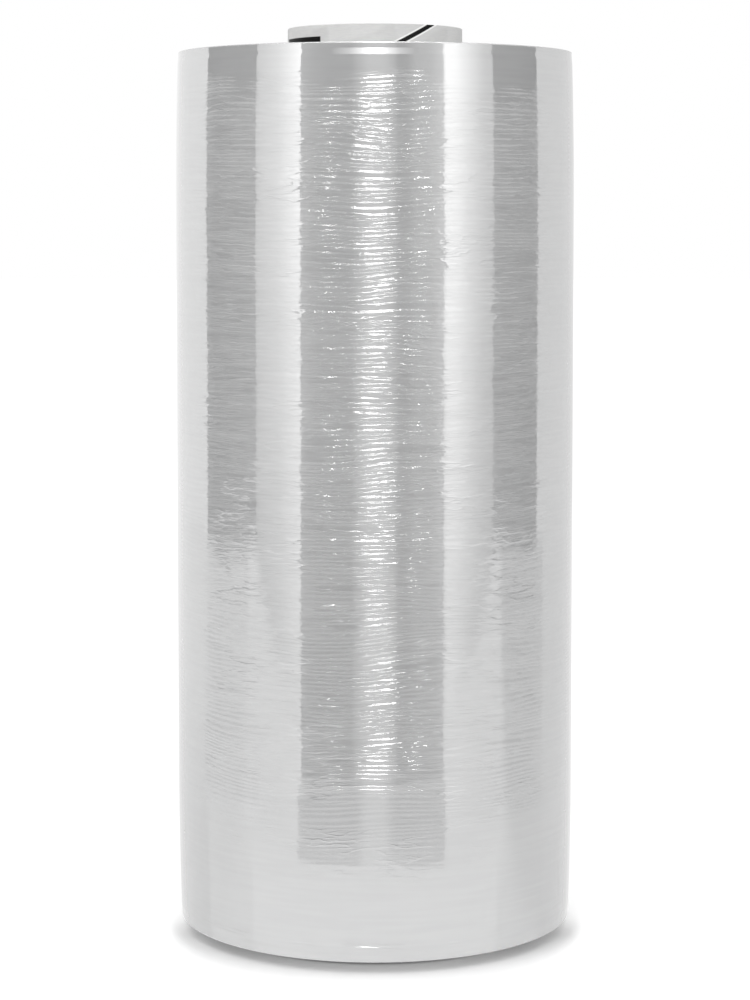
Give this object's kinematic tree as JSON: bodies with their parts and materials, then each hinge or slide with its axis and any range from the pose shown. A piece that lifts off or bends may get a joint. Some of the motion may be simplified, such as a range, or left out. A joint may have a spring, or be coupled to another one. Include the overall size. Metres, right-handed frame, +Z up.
{
  "type": "stretch wrap roll",
  "caption": "Roll of clear stretch wrap film wound on a paperboard core that stands out at both ends, used to bind loads on pallets.",
  "frame": {"origin": "centre of the core's lower end, on which the roll stands", "axes": "+Z up along the core's axis; the roll is round about it"},
  "size_m": [0.21, 0.2098, 0.4762],
  "materials": {
    "core_board": "smooth white lined paperboard with black print bars, grey-brown board inside",
    "clear_film": "glossy wound film, milky where many turns lie together, with fine cross wrinkles"
  },
  "bodies": {
    "root": {"core": "core_board", "film_roll": "clear_film"}
  },
  "joints": []
}
